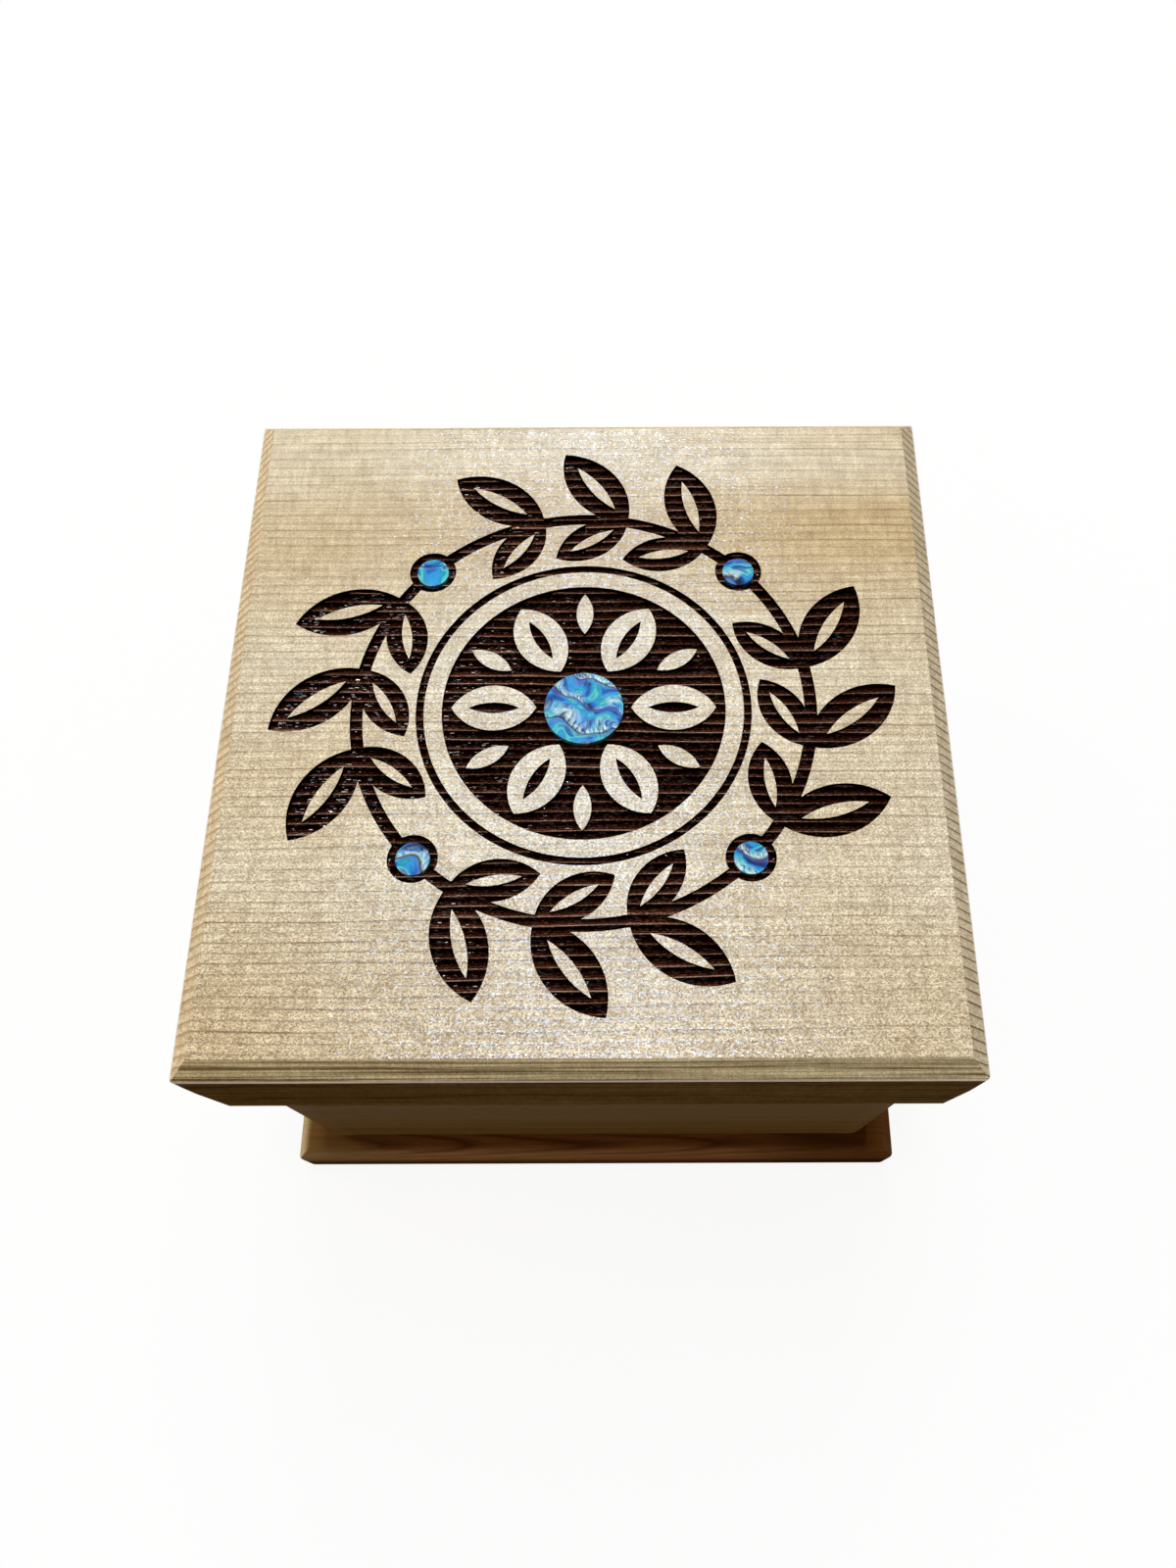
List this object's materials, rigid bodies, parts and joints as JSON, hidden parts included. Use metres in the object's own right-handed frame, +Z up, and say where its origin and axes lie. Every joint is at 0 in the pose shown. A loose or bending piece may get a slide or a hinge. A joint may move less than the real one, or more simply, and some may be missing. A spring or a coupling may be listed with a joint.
{
  "type": "bentwood box",
  "caption": "Square bentwood keepsake box: a kerf-bent cedar plank on a wider pegged base, under a thick chamfered lift-off lid with an engraved wreath and shell inlays.",
  "frame": {"origin": "middle of the base board's underside, which is the middle of the whole part's footprint at its lowest level", "axes": "+Z up, +X along the front wall to its right-hand end, +Y from the front to the back, where the lapped corner is at the right"},
  "size_m": [0.135, 0.135, 0.099],
  "materials": {
    "lid_cedar": "yellow cedar, straight fine grain, satin clear finish, laser-engraved floor burnt dark brown",
    "wall_cedar": "steam-bent cedar, sanded smooth, satin clear finish",
    "base_cedar": "flat-sawn red cedar with arched grain, satin clear finish",
    "peg_wood": "whittled hardwood peg, trimmed flush and sanded",
    "shell": "polished abalone shell, iridescent blue and green"
  },
  "bodies": {
    "box": {"base_board": "base_cedar", "base_peg_1": "peg_wood", "base_peg_2": "peg_wood", "base_peg_3": "peg_wood", "base_peg_4": "peg_wood", "base_peg_5": "peg_wood", "base_peg_6": "peg_wood", "base_peg_7": "peg_wood", "base_peg_8": "peg_wood", "side_plank": "wall_cedar", "corner_peg_1": "peg_wood", "corner_peg_2": "peg_wood", "corner_peg_3": "peg_wood", "corner_peg_4": "peg_wood"},
    "lid_with_shell": {"lid": "lid_cedar", "shell_rosette": "shell", "shell_berry_1": "shell", "shell_berry_2": "shell", "shell_berry_3": "shell", "shell_berry_4": "shell"}
  },
  "joints": [
    {"name": "lid_lift", "type": "slide", "parent": "box", "child": "lid_with_shell", "axis": [0, 0, 1], "range_m": [0, 0.06]}
  ]
}
